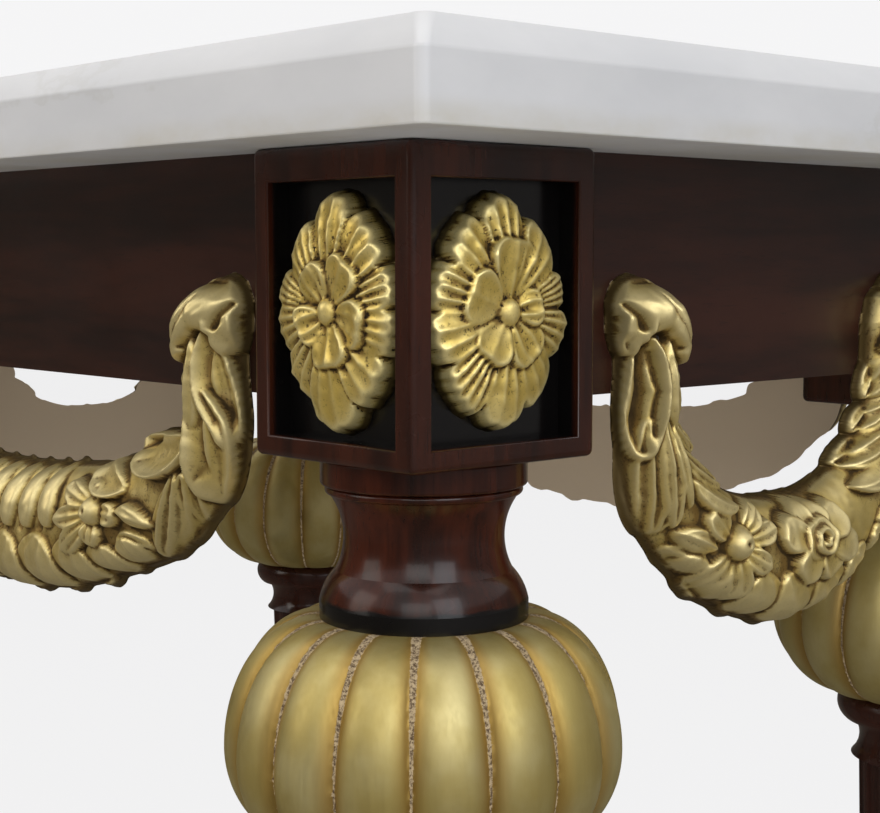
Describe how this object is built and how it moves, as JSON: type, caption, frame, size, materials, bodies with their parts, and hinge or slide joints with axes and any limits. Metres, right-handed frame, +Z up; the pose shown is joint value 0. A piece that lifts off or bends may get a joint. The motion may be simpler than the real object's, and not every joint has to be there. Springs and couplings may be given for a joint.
{
  "type": "side table",
  "caption": "Neoclassical side table: bevelled marble slab, dark mahogany frame with gilt swags and oval flowers, turned legs with a gadrooned bulb.",
  "frame": {"origin": "on the floor, under the middle of the top", "axes": "+X along the front towards its right end, +Y from the front to the back, +Z up"},
  "size_m": [0.6, 0.438, 0.63],
  "materials": {
    "marble": "honed white marble with faint grey veins",
    "mahogany": "dark red-brown stain under a gloss varnish",
    "gilt_carving": "carved wood, gilded, dark glaze left in the hollows",
    "gilt_bulb": "carved wood, satin gilding, gritty glaze in the grooves",
    "bare_wood": "planed, unfinished",
    "steel": "zinc-plated screw",
    "pad": "soft clear bumper"
  },
  "bodies": {
    "root": {"marble_top": "marble", "frieze_front": "mahogany", "swag_front": "gilt_carving", "frieze_right": "mahogany", "swag_right": "gilt_carving", "frieze_back": "mahogany", "swag_back": "gilt_carving", "frieze_left": "mahogany", "swag_left": "gilt_carving", "leg_block_front_right": "mahogany", "leg_neck_front_right": "mahogany", "leg_shaft_front_right": "mahogany", "leg_foot_front_right": "mahogany", "leg_bulb_front_right": "gilt_bulb", "rosette_front_right_front": "gilt_carving", "glue_block_front_right_front": "bare_wood", "rosette_front_right_right": "gilt_carving", "glue_block_front_right_right": "bare_wood", "leg_block_back_right": "mahogany", "leg_neck_back_right": "mahogany", "leg_shaft_back_right": "mahogany", "leg_foot_back_right": "mahogany", "leg_bulb_back_right": "gilt_bulb", "rosette_back_right_right": "gilt_carving", "glue_block_back_right_right": "bare_wood", "rosette_back_right_back": "gilt_carving", "glue_block_back_right_back": "bare_wood", "leg_block_back_left": "mahogany", "leg_neck_back_left": "mahogany", "leg_shaft_back_left": "mahogany", "leg_foot_back_left": "mahogany", "leg_bulb_back_left": "gilt_bulb", "rosette_back_left_back": "gilt_carving", "glue_block_back_left_back": "bare_wood", "rosette_back_left_left": "gilt_carving", "glue_block_back_left_left": "bare_wood", "leg_block_front_left": "mahogany", "leg_neck_front_left": "mahogany", "leg_shaft_front_left": "mahogany", "leg_foot_front_left": "mahogany", "leg_bulb_front_left": "gilt_bulb", "rosette_front_left_left": "gilt_carving", "glue_block_front_left_left": "bare_wood", "rosette_front_left_front": "gilt_carving", "glue_block_front_left_front": "bare_wood", "swag_screws": "steel", "marble_pads": "pad"}
  },
  "joints": []
}
